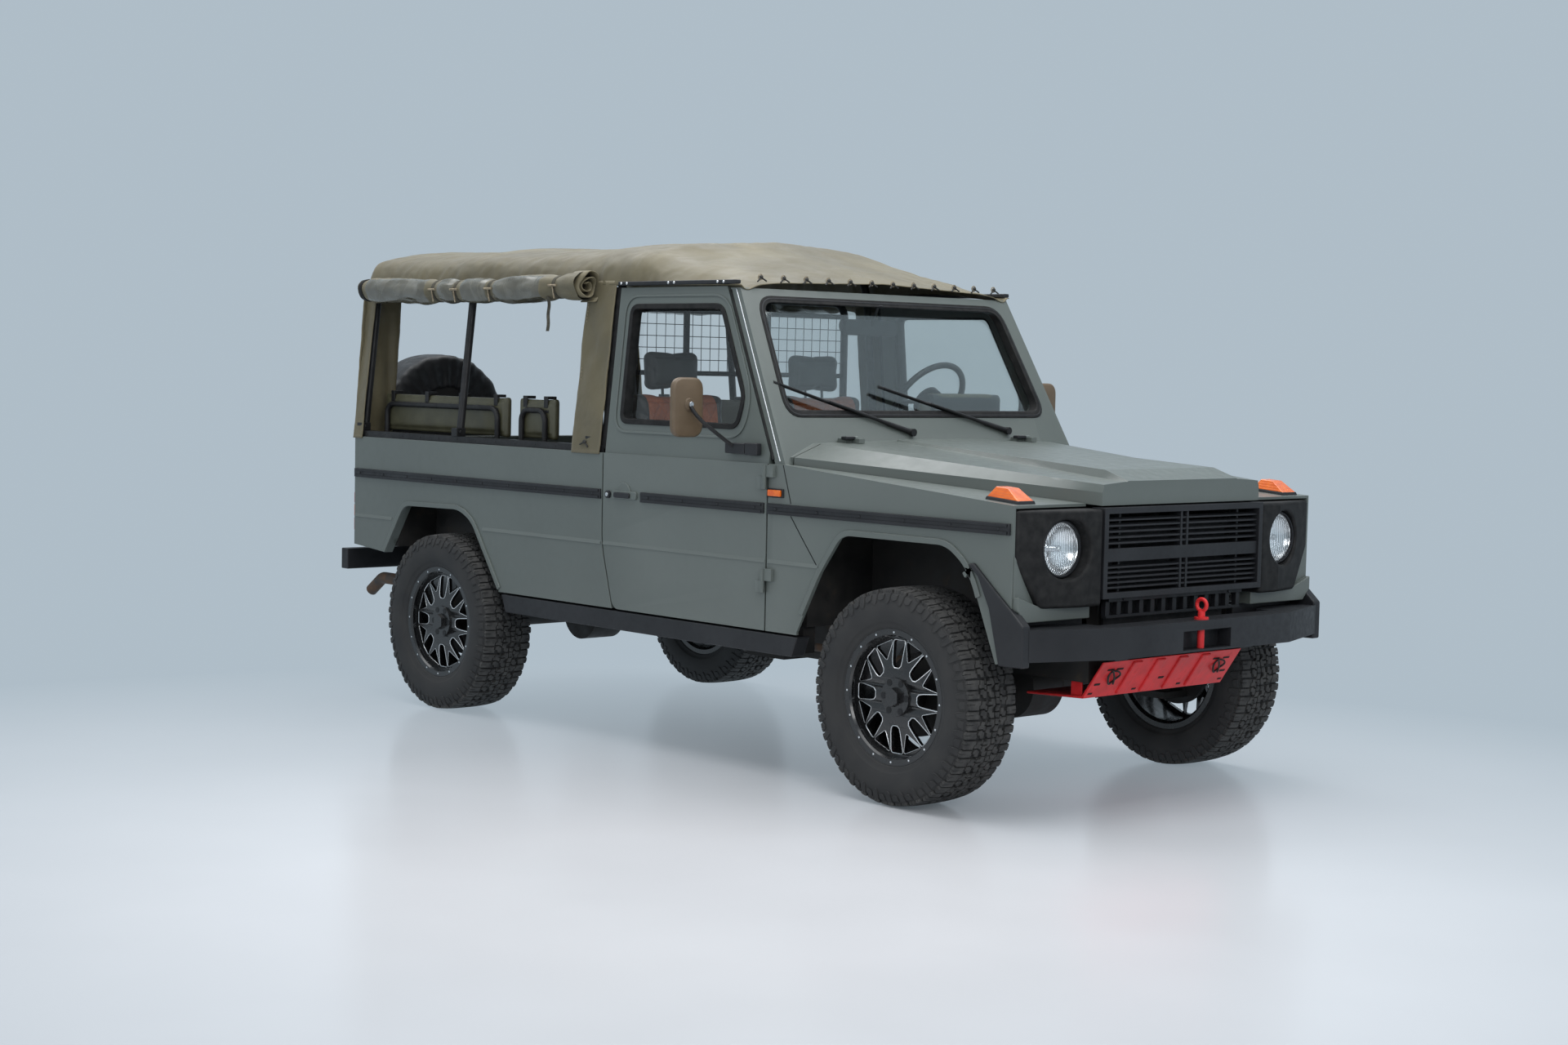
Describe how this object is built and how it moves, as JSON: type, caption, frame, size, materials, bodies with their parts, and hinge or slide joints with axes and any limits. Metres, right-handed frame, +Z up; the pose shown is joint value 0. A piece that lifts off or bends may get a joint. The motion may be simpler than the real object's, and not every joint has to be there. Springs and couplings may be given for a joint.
{
  "type": "soft-top four-wheel-drive car",
  "caption": "Long-wheelbase box-shaped 4x4 with a canvas top rolled up at its open rear sides, side doors, a half-height rear door with a covered spare, and steered all-terrain wheels.",
  "frame": {"origin": "on the ground, at the centre of the car's length and width", "axes": "+X forward, +Y to the car's left, +Z up"},
  "size_m": [4.58, 2.17, 2.074],
  "materials": {
    "body_paint": "satin",
    "black_steel": "satin",
    "red_steel": "gloss",
    "tan_metal": "matte",
    "iron": "matte",
    "black_alloy": "satin",
    "tyre": "matte",
    "black_plastic": "matte",
    "glass": "clear",
    "lamp_glass": "clear",
    "amber_lens": "gloss",
    "red_lens": "gloss",
    "canvas": "woven",
    "seat_cover": "satin",
    "bench_cover": "matte"
  },
  "bodies": {
    "car": {"chassis_frame": "black_steel", "engine_block": "iron", "driveline": "iron", "front_axle": "iron", "rear_axle": "iron", "springs": "black_steel", "exhaust_pipe": "iron", "cab_floor": "body_paint", "load_bed": "body_paint", "load_mat": "black_plastic", "inner_wings": "body_paint", "side_panel_right": "body_paint", "side_panel_left": "body_paint", "wing_right": "body_paint", "wing_left": "body_paint", "windscreen_frame": "body_paint", "windscreen_glass": "glass", "grille": "black_plastic", "headlamp_surrounds": "black_plastic", "headlamps": "lamp_glass", "turn_signals": "amber_lens", "front_bumper": "black_steel", "tow_pin": "red_steel", "skid_plate": "red_steel", "rear_bumper": "black_steel", "sills": "black_plastic", "tail_lamps": "red_lens", "canopy_frame": "black_steel", "soft_top": "canvas", "curtain_rolls": "canvas", "front_seats": "seat_cover", "dashboard": "black_plastic", "steering_wheel": "black_plastic", "cab_divider": "black_steel", "rear_benches": "bench_cover", "bench_hoop_right": "black_steel", "bench_hoop_left": "black_steel", "bench_frames": "black_steel"},
    "bonnet": {"bonnet": "body_paint"},
    "right_door": {"door_right": "body_paint", "door_glass_right": "glass", "mirror_right": "tan_metal"},
    "left_door": {"door_left": "body_paint", "door_glass_left": "glass", "mirror_left": "tan_metal"},
    "tail_door": {"rear_door": "body_paint", "spare_wheel": "tyre"},
    "right_knuckle": {"knuckle_right": "iron"},
    "left_knuckle": {"knuckle_left": "iron"},
    "front_right_wheel": {"rim_front_right": "black_alloy", "tyre_front_right": "tyre"},
    "front_left_wheel": {"rim_front_left": "black_alloy", "tyre_front_left": "tyre"},
    "rear_right_wheel": {"rim_rear_right": "black_alloy", "tyre_rear_right": "tyre"},
    "rear_left_wheel": {"rim_rear_left": "black_alloy", "tyre_rear_left": "tyre"}
  },
  "joints": [
    {"name": "bonnet_lift", "type": "hinge", "parent": "car", "child": "bonnet", "pos_m": [0.949, 0, 1.281], "axis": [0, -1, 0], "range_deg": [0, 55]},
    {"name": "right_door_swing", "type": "hinge", "parent": "car", "child": "right_door", "pos_m": [0.86, -0.852, 0.9], "axis": [0, 0, 1], "range_deg": [0, 70]},
    {"name": "left_door_swing", "type": "hinge", "parent": "car", "child": "left_door", "pos_m": [0.86, 0.852, 0.9], "axis": [0, 0, -1], "range_deg": [0, 70]},
    {"name": "tail_door_swing", "type": "hinge", "parent": "car", "child": "tail_door", "pos_m": [-2.062, -0.69, 0.9], "axis": [0, 0, 1], "range_deg": [0, 90]},
    {"name": "right_steer", "type": "hinge", "parent": "car", "child": "right_knuckle", "pos_m": [1.585, -0.64, 0.39], "axis": [0, 0, 1], "range_deg": [-28, 28]},
    {"name": "left_steer", "type": "hinge", "parent": "car", "child": "left_knuckle", "pos_m": [1.585, 0.64, 0.39], "axis": [0, 0, 1], "range_deg": [-28, 28]},
    {"name": "front_right_roll", "type": "hinge", "parent": "right_knuckle", "child": "front_right_wheel", "pos_m": [1.585, -0.765, 0.39], "axis": [0, 1, 0], "continuous": true},
    {"name": "front_left_roll", "type": "hinge", "parent": "left_knuckle", "child": "front_left_wheel", "pos_m": [1.585, 0.765, 0.39], "axis": [0, 1, 0], "continuous": true},
    {"name": "rear_right_roll", "type": "hinge", "parent": "car", "child": "rear_right_wheel", "pos_m": [-1.265, -0.765, 0.39], "axis": [0, 1, 0], "continuous": true},
    {"name": "rear_left_roll", "type": "hinge", "parent": "car", "child": "rear_left_wheel", "pos_m": [-1.265, 0.765, 0.39], "axis": [0, 1, 0], "continuous": true}
  ],
  "couplings": [
    {"joint": "left_steer", "follows": "right_steer", "ratio": 1}
  ]
}
